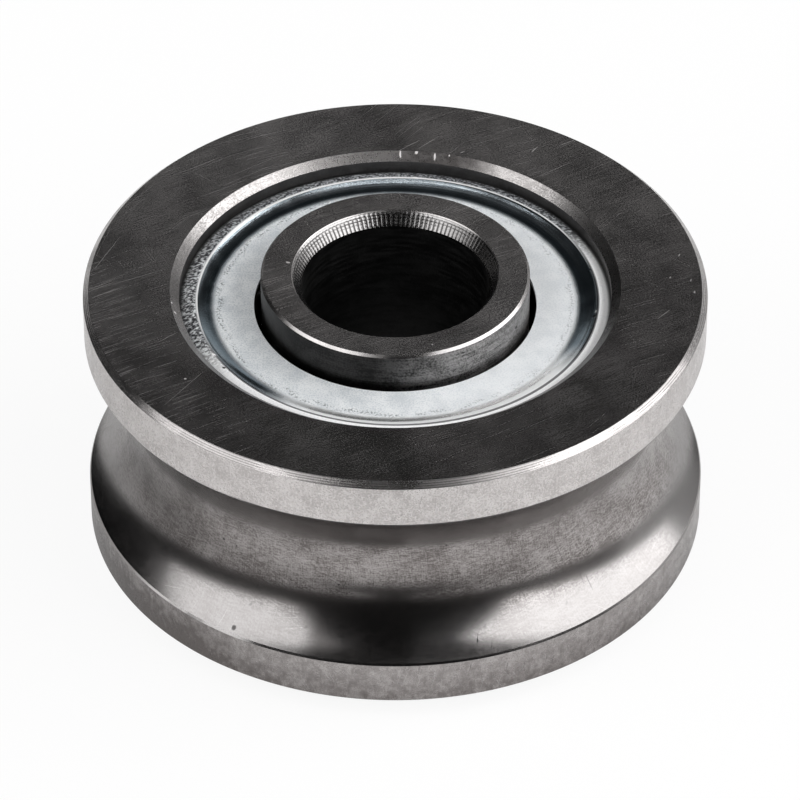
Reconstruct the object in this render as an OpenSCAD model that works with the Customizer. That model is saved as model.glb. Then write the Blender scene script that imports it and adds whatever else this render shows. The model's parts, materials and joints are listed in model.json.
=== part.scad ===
// Grooved track roller: a shielded double-row angular-contact ball bearing
// whose thick outer ring carries an arched groove for a round guide shaft.
// The origin is the middle of the wheel, on its axis, which is +Z.

/* [Rings] */
// Largest diameter of the outer ring, over its two flanges
outer_d = 39.9; // [38:0.1:46]
// Width of the outer ring
outer_w = 18; // [17:0.5:22]
// Bore of the inner ring
bore_d = 12; // [10:0.5:13]
// Width of the inner ring, which stands proud at both ends
inner_w = 20; // [18:0.5:26]
// Chamfer on the outer edges of the inner ring
inner_edge_chamfer = 0.16; // [0.05:0.01:0.4]
// Chamfer on the outer edges of the outer ring
flange_chamfer = 0.38; // [0.1:0.02:0.6]
// Radial size of the chamfer at each end of the bore
bore_chamfer_w = 0.62; // [0.2:0.02:0.9]
// Depth of the chamfer at each end of the bore
bore_chamfer_depth = 0.85; // [0.2:0.05:1.2]

/* [Shaft groove] */
// Diameter of the guide shaft that the groove runs on
shaft_d = 14; // [12:0.5:15]
// Distance from the wheel's axis to the guide shaft's axis
shaft_distance = 24; // [23.5:0.1:26]
// Radius of each of the groove's two arcs, as a share of the shaft's diameter
arch_conformity = 0.52; // [0.51:0.005:0.56]
// Angle at which each arc of the groove touches the shaft
arch_angle = 45; // [35:1:55]
// Width along the flange of the break on each edge of the groove
groove_break = 0.12; // [0.05:0.01:0.2]

/* [Balls and raceways] */
// Ball diameter
ball_d = 5.556; // [4.6:0.001:6.2]
// Balls in each row
balls_per_row = 9; // [7:1:10]
// Diameter of the circle through the ball centres
pitch_d = 21.2; // [20.6:0.1:22.4]
// Angle of the line of contact to the wheel's plane
contact_angle = 30; // [20:1:35]
// Radius of a raceway's section, as a share of the ball's diameter
race_conformity = 0.52; // [0.515:0.005:0.54]
// Running clearance between a ball and its raceways
race_gap = 0.05; // [0.02:0.01:0.08]
// Height of the high shoulders over the raceway
high_shoulder = 0.77; // [0.6:0.01:1.1]
// Height of the low shoulders over the raceway
low_shoulder = 0.28; // [0.16:0.02:0.4]

/* [Cages] */
// Clearance between a ball and its pocket
pocket_gap = 0.12; // [0.08:0.02:0.2]
// Wall of the claws around a ball, and of the band behind it
cage_wall = 0.5; // [0.35:0.05:0.55]
// Radial width of the cage
cage_w = 2.4; // [1.6:0.1:2.6]
// Distance that the claws reach past the ball's centre
claw_reach = 1.4; // [0.8:0.1:1.8]
// Height over the ball's centre at which the closed band starts
band_start = 1.2; // [0.8:0.1:1.8]
// Distance between the back of the cage and the shield
cage_gap = 0.46; // [0.3:0.02:0.8]

/* [Shields] */
// Thickness of the pressed sheet
sheet_t = 0.3; // [0.2:0.05:0.4]
// Gap between the shield's inner edge and the inner ring
shield_gap = 0.45; // [0.2:0.05:0.6]
// Depth of the shield's flat below the outer ring's face
shield_depth = 1.44; // [1:0.02:1.8]
// Height of the shield's bead over its flat
bead_h = 0.46; // [0.3:0.02:0.6]
// Radial width of the slope up to the bead's crest, before its foot is rounded
slope_w = 0.62; // [0.5:0.02:1]
// Radius of the wide sweep between the flat and the slope, along the sheet's middle
sweep_r = 1.9; // [1.2:0.1:1.9]
// Radial distance from the bead's crest to the wall of the recess
crest_inset = 0.98; // [0.8:0.02:1.2]
// Fall of the sheet from the bead's crest to its rim, in degrees
rim_slope = 20; // [15:1:28]
// Radius of the sheet's other bends, along its middle
bend_r = 0.2; // [0.16:0.02:0.24]
// Depth of the shield's foot below its flat
foot_drop = 0.3; // [0.2:0.05:0.5]
// Clearance between the shield's rim and its seat in the ring
seat_gap = 0.02; // [0.01:0.01:0.05]
// Step from the outer ring's low shoulder out to the wall of its recess
recess_step = 0.73; // [0.6:0.01:1]
// Depth of the groove in the wall of the recess that locks the shield
lock_depth = 0.35; // [0.25:0.05:0.5]
// Radial size of the chamfer at the mouth of the recess
mouth_chamfer_w = 0.57; // [0.3:0.01:0.7]
// Depth of the chamfer at the mouth of the recess
mouth_chamfer_depth = 0.47; // [0.2:0.01:0.6]

/* [Hidden] */
$fn = 96;
// Steps in each bend of the sheet
bend_steps = 8;

// Heights over the middle plane; the lower half mirrors the upper one
outer_face = outer_w / 2;
inner_face = inner_w / 2;
shield_mid = outer_face - shield_depth - sheet_t / 2;
foot_z = shield_mid - sheet_t / 2 - foot_drop;
crest_z = shield_mid + bead_h;
cage_back = shield_mid - sheet_t / 2 - cage_gap;

// Balls and pockets
ball_r = ball_d / 2;
pitch_r = pitch_d / 2;
pocket_r = ball_r + pocket_gap;
claw_r = pocket_r + cage_wall;
row_z = cage_back - claw_r;
ball_step = 360 / balls_per_row;

// Raceways: each arc's centre lies off the ball's, away from the point of contact
race_r = race_conformity * ball_d;
race_shift = (race_r - ball_r - race_gap) * [cos(contact_angle), -sin(contact_angle)];

// Radii of the rings
bore_r = bore_d / 2;
inner_shoulder_r = pitch_r - ball_r + high_shoulder;
inner_land_r = pitch_r - ball_r + low_shoulder;
outer_land_r = pitch_r + ball_r - high_shoulder;
outer_shoulder_r = pitch_r + ball_r - low_shoulder;
recess_r = outer_shoulder_r + recess_step;
lock_r = recess_r + lock_depth;
flange_r = outer_d / 2;

// Shaft groove: two arcs that meet in the middle plane, and the height at which they reach the flanges
arch_r = arch_conformity * shaft_d;
arch_shift = (arch_r - shaft_d / 2) * [cos(arch_angle), -sin(arch_angle)];
groove_edge = arch_shift.y + sqrt(arch_r ^ 2 - (shaft_distance + arch_shift.x - flange_r) ^ 2);

// Middle line of the shield's sheet, from its inner edge to its foot
crest_r = recess_r - crest_inset;
rim_r = lock_r - seat_gap - sheet_t / 2;
shield_line = [
    [inner_shoulder_r + shield_gap, shield_mid],
    [crest_r - slope_w, shield_mid],
    [crest_r, crest_z],
    [rim_r, crest_z - (rim_r - crest_r) * tan(rim_slope)],
    [rim_r, foot_z]
];
lock_top = crest_z - crest_inset * tan(rim_slope) + sheet_t / 2 / cos(rim_slope) + seat_gap;

function unit(v) = v / norm(v);

// An outline's upper half, followed by its mirror image in the middle plane
function both_halves(upper) =
    concat(upper, [for (i = [len(upper) - 1:-1:0]) [upper[i].x, -upper[i].y]]);

// Points of the arc of radius r that rounds corner b between a and c
function bend(a, b, c, r) =
    let (
        u = unit(a - b),
        v = unit(c - b),
        half = acos(u * v) / 2,
        center = b + unit(u + v) * r / sin(half),
        start = b + u * r / tan(half) - center,
        sweep = (cross(u, v) < 0 ? 1 : -1) * (180 - 2 * half)
    )
    [for (i = [0:bend_steps])
        let (t = sweep * i / bend_steps)
        center + [start.x * cos(t) - start.y * sin(t), start.x * sin(t) + start.y * cos(t)]];

// A line with its inner corners rounded, each to its own radius
function rounded(line, radii) = concat(
    [line[0]],
    [for (i = [1:len(line) - 2]) each bend(line[i - 1], line[i], line[i + 1], radii[i - 1])],
    [line[len(line) - 1]]
);

// Direction across a line at point i, long enough that a sheet stays even round a corner
function across(line, i) =
    let (
        last = len(line) - 1,
        k = max(i, 1),
        m = min(i, last - 1),
        sum = unit(line[k] - line[k - 1]) + unit(line[m + 1] - line[m])
    )
    [-sum.y, sum.x] * 2 / (sum * sum);

// Section of a sheet that follows a line
module sheet(line) {
    last = len(line) - 1;
    polygon(concat(
        [for (i = [0:last]) line[i] + across(line, i) * sheet_t / 2],
        [for (i = [last:-1:0]) line[i] - across(line, i) * sheet_t / 2]
    ));
}

// Sections of one ring's two raceways, shifted off the balls' centres
module raceways(shift) {
    for (side = [1, -1])
        translate([pitch_r + shift.x, side * (row_z + shift.y)]) circle(r = race_r);
}

// Section of the groove for the guide shaft
module shaft_groove() {
    intersection_for (side = [1, -1])
        translate([shaft_distance + arch_shift.x, side * arch_shift.y]) circle(r = arch_r);
}

// Sections of the breaks on the groove's two edges, which lean one in two off the flange
module groove_breaks() {
    for (side = [1, -1])
        polygon([
            [flange_r, side * (groove_edge + groove_break)],
            [flange_r - 1.2 * groove_break, side * (groove_edge - 1.4 * groove_break)],
            [flange_r + groove_break, side * (groove_edge - 1.4 * groove_break)]
        ]);
}

module outer_ring() {
    color("dimgray") rotate_extrude() difference() {
        polygon(both_halves([
            [outer_land_r, row_z],
            [outer_shoulder_r, row_z],
            [outer_shoulder_r, foot_z],
            [lock_r, foot_z],
            [lock_r, lock_top],
            [recess_r, lock_top],
            [recess_r, outer_face - mouth_chamfer_depth],
            [recess_r + mouth_chamfer_w, outer_face],
            [flange_r - flange_chamfer, outer_face],
            [flange_r, outer_face - flange_chamfer]
        ]));
        raceways(-race_shift);
        shaft_groove();
        groove_breaks();
    }
}

module inner_ring() {
    color("slategray") rotate_extrude() difference() {
        polygon(both_halves([
            [inner_land_r, row_z],
            [inner_shoulder_r, row_z],
            [inner_shoulder_r, inner_face - inner_edge_chamfer],
            [inner_shoulder_r - inner_edge_chamfer, inner_face],
            [bore_r + bore_chamfer_w, inner_face],
            [bore_r, inner_face - bore_chamfer_depth]
        ]));
        raceways(race_shift);
    }
}

module upper_shield() {
    color("lightsteelblue") rotate_extrude() sheet(rounded(shield_line, [sweep_r, bend_r, bend_r]));
}

module lower_shield() {
    mirror([0, 0, 1]) upper_shield();
}

// One snap-in cage: a closed band behind the balls, with a pair of claws around each
module upper_cage() {
    color("black") difference() {
        intersection() {
            rotate_extrude()
                translate([pitch_r - cage_w / 2, row_z - claw_reach])
                square([cage_w, cage_back - row_z + claw_reach]);
            union() {
                translate([0, 0, row_z + band_start]) cylinder(r = flange_r, h = outer_w);
                for (i = [1:balls_per_row]) upper_place(i) sphere(r = claw_r);
            }
        }
        for (i = [1:balls_per_row]) upper_place(i) sphere(r = pocket_r);
    }
}

module lower_cage() {
    lower_half() upper_cage();
}

// Place of a ball's centre in the upper row
module upper_place(i) {
    rotate((i - 1) * ball_step) translate([pitch_r, 0, row_z]) children();
}

// The lower row mirrors the upper one and is turned by half a ball's step
module lower_half() {
    rotate(ball_step / 2) mirror([0, 0, 1]) children();
}

module upper_ball(i) {
    color("silver") upper_place(i) sphere(r = ball_r);
}

module lower_ball(i) {
    lower_half() upper_ball(i);
}

outer_ring();
inner_ring();
upper_shield();
lower_shield();
upper_cage();
lower_cage();
for (i = [1:balls_per_row]) {
    upper_ball(i);
    lower_ball(i);
}
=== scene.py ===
import json
import math

import bmesh
import bpy
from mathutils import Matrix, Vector


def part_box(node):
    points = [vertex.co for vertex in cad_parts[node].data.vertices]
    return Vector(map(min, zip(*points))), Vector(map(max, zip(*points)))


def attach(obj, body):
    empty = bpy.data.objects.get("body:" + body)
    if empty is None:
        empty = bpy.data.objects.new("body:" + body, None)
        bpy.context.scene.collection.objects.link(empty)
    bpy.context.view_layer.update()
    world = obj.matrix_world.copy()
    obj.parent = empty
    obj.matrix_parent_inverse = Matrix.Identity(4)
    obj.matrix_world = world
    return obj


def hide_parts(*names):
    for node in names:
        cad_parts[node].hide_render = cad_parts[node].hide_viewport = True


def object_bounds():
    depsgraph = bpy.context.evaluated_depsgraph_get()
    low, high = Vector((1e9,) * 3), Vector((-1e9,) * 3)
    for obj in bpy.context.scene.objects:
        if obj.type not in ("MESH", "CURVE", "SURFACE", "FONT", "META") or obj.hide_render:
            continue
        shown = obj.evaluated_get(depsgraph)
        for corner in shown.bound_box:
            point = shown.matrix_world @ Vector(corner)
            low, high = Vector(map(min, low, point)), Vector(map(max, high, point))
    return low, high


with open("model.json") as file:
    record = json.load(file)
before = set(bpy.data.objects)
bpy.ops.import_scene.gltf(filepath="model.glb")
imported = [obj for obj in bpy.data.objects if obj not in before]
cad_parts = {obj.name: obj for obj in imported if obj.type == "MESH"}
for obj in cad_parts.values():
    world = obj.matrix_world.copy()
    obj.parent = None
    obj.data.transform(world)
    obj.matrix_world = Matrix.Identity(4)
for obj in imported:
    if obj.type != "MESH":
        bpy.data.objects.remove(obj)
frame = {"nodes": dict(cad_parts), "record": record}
cad_low, cad_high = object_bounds()


# ---- Inner ring ----
# One ring of hardened bearing steel, the part of the wheel that stands still. It is turned, then
# ground on its faces and raceways, and the tool that chamfers its bore chatters and leaves ribs.

MM = 0.001
SHARP = math.radians(18)
RIBS = 132
RIB_SHAPE = (0.0, 1.0, 1.0, 0.35, 0.0)
RIB_ROW_SHAPE = (1.0, 0.8, 0.3)
RIB_H = 0.022
RIB_ROWS = 5
RIB_PHASE = -0.69 * math.pi
RACE_STEPS = 10


def arc(center, start, end, steps):
    """Points of the shorter arc round center, from start to end."""
    first = math.atan2(start[1] - center[1], start[0] - center[0])
    last = math.atan2(end[1] - center[1], end[0] - center[0])
    sweep = (last - first + math.pi) % (2 * math.pi) - math.pi
    radius = math.dist(start, center)
    angles = [first + sweep * i / steps for i in range(steps + 1)]
    return [(center[0] + radius * math.cos(a), center[1] + radius * math.sin(a)) for a in angles]


def mirrored(runs):
    """The runs of an outline's upper half, mirrored to the lower half and walked backwards."""
    return [(finish, [(r, -z) for r, z in reversed(points)]) for finish, points in reversed(runs)]


def turned(runs, materials, steps):
    """A ring turned from its section, and its points by their place in the section. Each run is a
    finish and the points that it covers, as radius and height in millimetres."""
    verts = {}
    headings = {}
    build = bmesh.new()
    turn = [(math.cos(2 * math.pi * k / steps), math.sin(2 * math.pi * k / steps)) for k in range(steps)]
    for finish, points in runs:
        for start, end in zip(points, points[1:]):
            keys = [(round(p[0], 4), round(p[1], 4)) for p in (start, end)]
            if keys[0] == keys[1]:
                continue
            for key in keys:
                if key not in verts:
                    r, z = key
                    verts[key] = [build.verts.new((r * MM * c, r * MM * s, z * MM)) for c, s in turn]
                headings.setdefault(key, []).append(math.atan2(end[1] - start[1], end[0] - start[0]))
            near, far = verts[keys[0]], verts[keys[1]]
            for k in range(steps):
                after = (k + 1) % steps
                face = build.faces.new((near[k], near[after], far[after], far[k]))
                face.material_index = list(materials).index(finish)
                face.smooth = True
    bmesh.ops.recalc_face_normals(build, faces=build.faces)
    for key, (first, last) in headings.items():
        if abs((first - last + math.pi) % (2 * math.pi) - math.pi) > SHARP:
            ring = verts[key]
            for k in range(steps):
                build.edges.get((ring[k], ring[(k + 1) % steps])).smooth = False
    return build, verts


def finished(name, build, materials):
    """A piece made of a mesh that is done, with its finishes in their slots."""
    mesh = bpy.data.meshes.new(name)
    build.to_mesh(mesh)
    build.free()
    for material in materials.values():
        mesh.materials.append(material)
    piece = bpy.data.objects.new(name, mesh)
    bpy.context.scene.collection.objects.link(piece)
    return piece


def add(material, kind, sockets=None, **settings):
    """A node in a material. A socket's value is a constant, or the output that feeds it."""
    made = material.node_tree.nodes.new("ShaderNode" + kind)
    for key, value in settings.items():
        setattr(made, key, value)
    for key, value in (sockets or {}).items():
        if isinstance(value, bpy.types.NodeSocket):
            material.node_tree.links.new(value, made.inputs[key])
        else:
            made.inputs[key].default_value = value
    return made


def work(material, operation, first, second=0.0, third=0.0):
    """The result of one sum on values."""
    return add(material, "Math", {0: first, 1: second, 2: third}, operation=operation).outputs[0]


def times(material, *values):
    """The product of values."""
    total = values[0]
    for value in values[1:]:
        total = work(material, "MULTIPLY", total, value)
    return total


def most(material, *values):
    """The largest of values."""
    total = values[0]
    for value in values[1:]:
        total = work(material, "MAXIMUM", total, value)
    return total


def ramp(material, value, low, high, start=0.0, end=1.0):
    """A value eased from start to end while it goes from low to high."""
    if low > high:
        low, high, start, end = high, low, end, start
    sockets = {"Value": value, "From Min": low, "From Max": high, "To Min": start, "To Max": end}
    return add(material, "MapRange", sockets, interpolation_type="SMOOTHSTEP").outputs[0]


def shade(material, factor, first, second):
    """The color between two, where factor 0 gives the first."""
    sockets = {0: factor, 6: first, 7: second}
    return add(material, "Mix", sockets, data_type="RGBA").outputs[2]


def gray(level, warmth=0.0):
    """A near-neutral color, warmer with a positive warmth and bluer with a negative one."""
    return (level * (1 + warmth), level, level * (1 - 0.3 * warmth), 1.0)


def mottled(material, tone, low, high, dark, pale):
    """A color that goes from a dark to a pale gray while tone goes from low to high. Each gray is
    given by its level and warmth."""
    return shade(material, ramp(material, tone, low, high), gray(*dark), gray(*pale))


def over(material, color, mask, share, level, warmth=0.0):
    """A color with a gray laid over it, as far as a mask and a share say."""
    return shade(material, times(material, mask, share), color, gray(level, warmth))


def new_finish(name):
    """A bare material, with its surface shader and its place in millimetres on the piece."""
    material = bpy.data.materials.new(name)
    material.use_nodes = True
    surface = material.node_tree.nodes["Principled BSDF"]
    place = add(material, "TexCoord").outputs["Object"]
    place = add(material, "VectorMath", {0: place, "Scale": 1 / MM}, operation="SCALE").outputs[0]
    return material, surface, place


def grain(material, place, size, detail=3.0, seed=0.0, turn=0.0):
    """Noise whose grains have this size in millimetres, or these sizes along X, Y and Z, turned
    about the axis."""
    if isinstance(size, float):
        size = (size, size, size)
    sockets = {"Vector": place, "Rotation": (0, 0, math.radians(turn)), "Scale": size}
    moved = add(material, "Mapping", sockets, vector_type="TEXTURE").outputs[0]
    sockets = {"Vector": moved, "Scale": 1.0, "Detail": detail, "W": seed}
    return add(material, "TexNoise", sockets, noise_dimensions="4D").outputs[0]


def dashes(material, place, length, width, share, seed, turn=0.0):
    """Separate straight scratches of one direction in the plane of X and Y. Each has a cell of its
    own, and share says how many of the cells hold one."""
    sockets = {
        "Vector": place,
        "Location": (seed * 1.7, seed * 2.3, 0),
        "Rotation": (0, 0, math.radians(turn)),
        "Scale": (length * 5, width * 5, 1),
    }
    moved = add(material, "Mapping", sockets, vector_type="TEXTURE").outputs[0]
    cells = add(material, "TexVoronoi", {"Vector": moved, "Scale": 1.0}, voronoi_dimensions="2D")
    chance = add(material, "SeparateXYZ", {0: cells.outputs["Color"]}).outputs[0]
    chosen = ramp(material, chance, 1 - share, 1.15 - share)
    return times(material, ramp(material, cells.outputs["Distance"], 0.10, 0.04), chosen)


def wavy(material, place, reach, size, seed):
    """A place moved a little to and fro, so that straight scratches bend."""
    sockets = {"Vector": place, "Scale": 1 / size, "Detail": 1.0, "W": seed}
    push = add(material, "TexNoise", sockets, noise_dimensions="4D").outputs["Color"]
    push = add(material, "VectorMath", {0: push, 1: (0.5, 0.5, 0.5)}, operation="SUBTRACT").outputs[0]
    push = add(material, "VectorMath", {0: push, "Scale": 2 * reach}, operation="SCALE").outputs[0]
    return add(material, "VectorMath", {0: place, 1: push}, operation="ADD").outputs[0]


def height_of(material, place):
    """The height of a place in millimetres."""
    return add(material, "SeparateXYZ", {0: place}).outputs[2]


def level_place(material, place):
    """A place brought down to the plane of X and Y."""
    x, y = add(material, "SeparateXYZ", {0: place}).outputs[:2]
    return add(material, "CombineXYZ", {0: x, 1: y}).outputs[0]


def toward(material, place, angle, narrow, wide):
    """1 on the side of the ring that lies at this angle from X, 0 beyond the wide angle from it."""
    level = level_place(material, place)
    heading = add(material, "VectorMath", {0: level}, operation="NORMALIZE").outputs[0]
    aimed = (math.cos(math.radians(angle)), math.sin(math.radians(angle)), 0)
    lean = add(material, "VectorMath", {0: heading, 1: aimed}, operation="DOT_PRODUCT").outputs["Value"]
    return ramp(material, lean, math.cos(math.radians(wide)), math.cos(math.radians(narrow)))


def marked(material, place, height, marks, tall=4.0):
    """Single marks at this height. Each is given by its angle and radius on the ring, its length
    and width, the way it lies, and its strength."""
    singles = []
    for angle, radius, length, width, turn, strength in marks:
        around = math.radians(angle)
        sockets = {
            "Vector": place,
            "Location": (radius * math.cos(around), radius * math.sin(around), height),
            "Rotation": (0, 0, math.radians(turn)),
            "Scale": (length / 2, width / 2, tall / 2),
        }
        moved = add(material, "Mapping", sockets, vector_type="TEXTURE").outputs[0]
        far = add(material, "VectorMath", {0: moved}, operation="LENGTH").outputs["Value"]
        singles.append(ramp(material, far, 1.0, 0.5, 0.0, strength))
    return most(material, *singles)


def radius_of(material, place, shift=0.0):
    """Distance from the axis in millimetres, or from a line beside it shifted along X."""
    level = level_place(material, place)
    moved = add(material, "VectorMath", {0: level, 1: (-shift, 0, 0)}, operation="ADD").outputs[0]
    return add(material, "VectorMath", {0: moved}, operation="LENGTH").outputs["Value"]


def blend_of(material, *shares):
    """The sum of values, each with its weight."""
    parts = [times(material, value, weight) for value, weight in shares]
    total = parts[0]
    for part in parts[1:]:
        total = work(material, "ADD", total, part)
    return total


def ring_grain(material, place, around, across, seed, detail=3.0):
    """Noise drawn out along a ring's turning marks: around and across give the grains a millimetre
    along the marks and over them."""
    level = level_place(material, place)
    heading = add(material, "VectorMath", {0: level}, operation="NORMALIZE").outputs[0]
    wide = add(material, "VectorMath", {0: heading, "Scale": 15.0 * around}, operation="SCALE").outputs[0]
    height = height_of(material, place)
    climb = blend_of(material, (radius_of(material, place), across), (height, across * 0.7))
    climb = add(material, "CombineXYZ", {2: climb}).outputs[0]
    moved = add(material, "VectorMath", {0: wide, 1: climb}, operation="ADD").outputs[0]
    return grain(material, moved, (1, 1, 1), detail, seed)


def connect(material, surface, color, roughness, height, strength, depth=0.02):
    """Feeds a metal's color, roughness and relief, whose depth is in millimetres."""
    surface.inputs["Metallic"].default_value = 1.0
    bump = add(material, "Bump", {"Height": height, "Strength": strength, "Distance": depth * MM})
    links = material.node_tree.links
    links.new(color, surface.inputs["Base Color"])
    links.new(roughness, surface.inputs["Roughness"])
    links.new(bump.outputs[0], surface.inputs["Normal"])


def steel(name, level, warmth, rough, marks=0.10, mottle=0.15, around=0.25, across=7.0, seed=0.0):
    """Ground or turned steel: marks that run round the ring, over a faint cloudy mottle."""
    material, surface, place = new_finish(name)
    lines = ring_grain(material, place, around, across, seed, 4.0)
    cloud = grain(material, place, 1.6, detail=5.0, seed=seed + 3.0)
    fine = grain(material, place, 0.11, detail=2.0, seed=seed + 5.0)
    tone = blend_of(material, (cloud, 0.4), (fine, 0.3), (lines, 0.3))
    dark = (level * (1 - mottle), warmth)
    pale = (level * (1 + mottle), warmth)
    color = mottled(material, tone, 0.40, 0.60, dark, pale)
    roughness = ramp(material, lines, 0.3, 0.7, rough * 0.8, rough * 1.25)
    connect(material, surface, color, roughness, blend_of(material, (lines, 1.0), (fine, 0.4)), marks)
    return material


def fine_edge(name, level, rough, seed):
    """A narrow chamfer, bright, with fine dark turning lines that come and go, and small nicks."""
    line_pitch = 0.21
    material, surface, place = new_finish(name)
    height = work(material, "ABSOLUTE", height_of(material, place))
    across = work(material, "SUBTRACT", radius_of(material, place), height)
    shift = ring_grain(material, place, 0.10, 0.0, seed, 2.0)
    shift = times(material, shift, 9.0)
    swing = work(material, "MULTIPLY_ADD", across, 2 * math.pi / line_pitch, shift)
    lines = work(material, "SINE", swing)
    patch = ring_grain(material, place, 0.30, 2.0, seed + 1.0)
    fine = grain(material, place, 0.09, detail=3.0, seed=seed + 2.0)
    dark = times(material, ramp(material, lines, 0.35, 0.95), ramp(material, patch, 0.42, 0.56))
    dark = most(material, dark, ramp(material, fine, 0.62, 0.70))
    color = mottled(material, fine, 0.35, 0.65, (level * 0.85, 0.05), (level * 1.15, 0.04))
    color = over(material, color, dark, 0.7, 0.05, 0.05)
    roughness = ramp(material, patch, 0.35, 0.65, rough * 0.8, rough * 1.25)
    relief = blend_of(material, (lines, 0.4), (fine, 0.6), (dark, -1.0))
    connect(material, surface, color, roughness, relief, 0.25)
    return material


def chattered(name, level, rough, seed):
    """The chamfer's turned steel, whose ribs are bright and the hollows between them darker, with painted
    shade on its side towards 15 degrees from X. Near the lip the ribs fade into fine turning lines."""
    line_pitch = 0.17
    material, surface, place = new_finish(name)
    x, y, z = add(material, "SeparateXYZ", {0: place}).outputs
    angle = work(material, "ARCTAN2", y, x)
    swing = work(material, "COSINE", work(material, "MULTIPLY_ADD", angle, RIBS, RIB_PHASE))
    depth = work(material, "SUBTRACT", inner_face, work(material, "ABSOLUTE", z))
    lines = work(material, "SINE", times(material, depth, 2 * math.pi / line_pitch))
    patch = grain(material, place, 1.5, detail=3.0, seed=seed)
    ribbed = times(material, ramp(material, swing, -0.3, 0.7), ramp(material, depth, 0.12, 0.34))
    lined = times(material, ramp(material, lines, 0.0, 0.9), ramp(material, patch, 0.34, 0.54, 0.3, 1.0))
    lined = times(material, lined, ramp(material, depth, 0.75, 0.30))
    hollow = most(material, ribbed, lined)
    fine = grain(material, place, 0.10, detail=2.0, seed=seed + 1.0)
    color = mottled(material, fine, 0.35, 0.65, (level * 0.8, 0.03), (level * 1.2, 0.02))
    # Painted shade: the chamfer darkens on its side towards 15 degrees from X.
    chamfer_painted_shade = times(material, toward(material, place, 15, 15, 50), 0.7)
    color = shade(material, most(material, chamfer_painted_shade, times(material, hollow, 0.88)), color, gray(0.03, 0.05))
    roughness = ramp(material, fine, 0.3, 0.7, rough * 0.8, rough * 1.2)
    connect(material, surface, color, roughness, blend_of(material, (fine, 0.5), (hollow, -1.0)), 0.3)
    return material


def turned_wall(name, level, rough, seed):
    """A wall left from the lathe: steel ringed by fine lines, painted paler towards its right as painted
    light.
    """
    material, surface, place = new_finish(name)
    rings = ring_grain(material, place, 0.22, 22.0, seed)
    fine = grain(material, place, 0.12, detail=3.0, seed=seed + 1.0)
    cloud = grain(material, place, 1.2, detail=4.0, seed=seed + 2.0)
    tone = blend_of(material, (rings, 0.35), (fine, 0.35), (cloud, 0.30))
    color = mottled(material, tone, 0.40, 0.60, (level * 0.5, 0.02), (level * 1.4, 0.03))
    # Painted light: the wall is laid over with a paler gray towards its right.
    right = toward(material, place, 325, 15, 65)
    painted_light_right = times(material, right, ramp(material, tone, 0.36, 0.60))
    color = shade(material, painted_light_right, color, gray(0.42, 0.03))
    pit = marked(material, place, inner_face - WALL_PIT_DROP, WALL_PITS, 0.26)
    color = shade(material, pit, color, gray(0.01))
    roughness = ramp(material, rings, 0.3, 0.7, rough * 0.8, rough * 1.2)
    roughness = blend_of(material, (roughness, 1.0), (right, 0.1))
    connect(material, surface, color, roughness, blend_of(material, (rings, 0.7), (fine, 0.7)), 0.25)
    return material


# Turn, length, width and share of each family of hair scratches.
HAIRLINES = (
    (33, 5.0, 0.030, 0.30),
    (24, 3.0, 0.024, 0.30),
    (52, 3.4, 0.026, 0.12),
    (75, 4.5, 0.026, 0.10),
    (-38, 3.0, 0.024, 0.08),
    (118, 2.2, 0.028, 0.08),
)


def ground_face(name, level, rough, seed, outer_r, height, marks, pale):
    """A face ground flat: dark cloudy steel, finely scratched in one direction, most of all on its left
    and towards outer_r, and crossed by single scratches and bright specks from handling. Painted light
    makes it paler on the side that pale gives, as an angle, a narrow reach and a wide one."""
    material, surface, place = new_finish(name)
    bent = wavy(material, place, 0.25, 6.0, seed)
    cloud = grain(material, place, 2.6, detail=6.0, seed=seed)
    lines = grain(material, bent, (3.0, 0.055, 1.0), detail=3.0, seed=seed + 1.0, turn=29)
    coarse = grain(material, bent, (6.0, 0.30, 1.0), detail=3.0, seed=seed + 4.0, turn=31)
    fine = grain(material, place, 0.10, detail=2.0, seed=seed + 2.0)
    tone = blend_of(material, (cloud, 0.24), (lines, 0.26), (fine, 0.50))
    color = mottled(material, tone, 0.40, 0.60, (level * 0.60, 0.04), (level * 1.35, 0.05))
    # Painted light: the side that pale gives is laid over with a pale gray.
    color = over(material, color, toward(material, place, *pale), 0.17, 0.85, 0.03)
    worn = work(material, "MULTIPLY_ADD", toward(material, place, 205, 6, 42), 0.92, 0.08)
    outside = ramp(material, radius_of(material, place), outer_r - 4.6, outer_r - 0.8, 0.12, 1.0)
    bright = times(material, ramp(material, lines, 0.52, 0.68), ramp(material, coarse, 0.44, 0.60))
    light = times(material, bright, outside, worn, 0.60)
    scuffed = work(material, "MULTIPLY_ADD", toward(material, place, 110, 70, 125), 0.26, 0.14)
    for turn, length, width, share in HAIRLINES:
        single = dashes(material, bent, length, width, share, seed + turn, turn)
        light = most(material, light, times(material, single, scuffed))
    deep = marked(material, wavy(material, place, 0.04, 0.3, seed), height, marks)
    light = most(material, light, deep)
    specks = dashes(material, place, 0.10, 0.07, 0.03, seed + 9.0)
    light = most(material, light, times(material, specks, 0.7))
    dust = dashes(material, place, 0.07, 0.05, 0.06, seed + 8.0, 60)
    light = most(material, light, times(material, dust, 0.25))
    color = shade(material, light, color, gray(0.85, 0.03))
    roughness = ramp(material, tone, 0.38, 0.62, rough * 0.85, rough * 1.15)
    roughness = blend_of(material, (roughness, 1.0), (light, 0.45))
    relief = blend_of(material, (lines, 1.0), (fine, 1.0), (light, -0.3))
    connect(material, surface, color, roughness, relief, 0.07)
    return material


def rise(center, radius, at):
    """Height of an arc over its center, where it passes the radius at."""
    return math.sqrt(radius ** 2 - (center[0] - at) ** 2)


ball_low, ball_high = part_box("upper_ball_1")
ball_r = (ball_high.z - ball_low.z) / 2 / MM
pitch_r = (ball_high.x + ball_low.x) / 2 / MM
row_z = (ball_high.z + ball_low.z) / 2 / MM
CONFORMITY = 1.04
BALL_GAP = 0.05
race_r = CONFORMITY * ball_r
race_shift = race_r - ball_r - BALL_GAP
contact = math.radians(30)
high_shoulder = 0.77
low_shoulder = 0.28

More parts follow.
